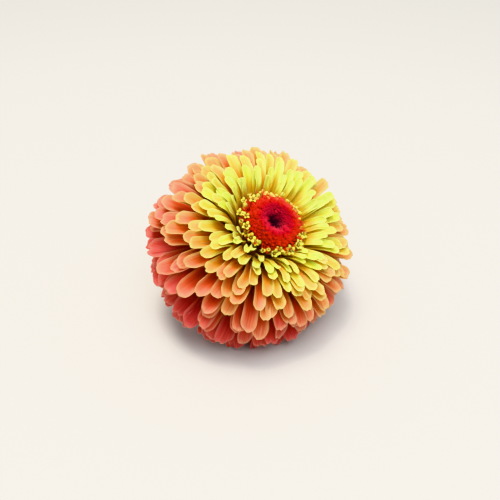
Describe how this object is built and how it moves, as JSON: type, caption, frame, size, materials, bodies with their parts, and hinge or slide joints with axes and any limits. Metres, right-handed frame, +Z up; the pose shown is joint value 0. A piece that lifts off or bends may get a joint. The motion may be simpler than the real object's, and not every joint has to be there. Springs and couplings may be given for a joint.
{
  "type": "zinnia flower",
  "caption": "Picked double zinnia bloom lying on a surface, its petals in overlapping layers round a red disc, on a scaly green cup and a short cut stem.",
  "frame": {"origin": "middle of the outline's underside, on the surface that the flower lies on", "axes": "+Z up from the surface, -Y towards the side that the bloom's face leans to, +X to the right of someone facing the bloom"},
  "size_m": [0.0882, 0.0813, 0.0693],
  "materials": {
    "stem": "matte",
    "cup_scales": "matte",
    "coral_petals": "matte",
    "orange_petals": "matte",
    "yellow_petals": "matte",
    "open_florets": "matte",
    "red_chaff": "matte"
  },
  "bodies": {
    "root": {"stem": "stem", "involucre": "cup_scales", "ray_petals_coral": "coral_petals", "ray_petals_orange": "orange_petals", "ray_petals_yellow": "yellow_petals", "open_disc_florets": "open_florets", "disc_chaff": "red_chaff"}
  },
  "joints": []
}
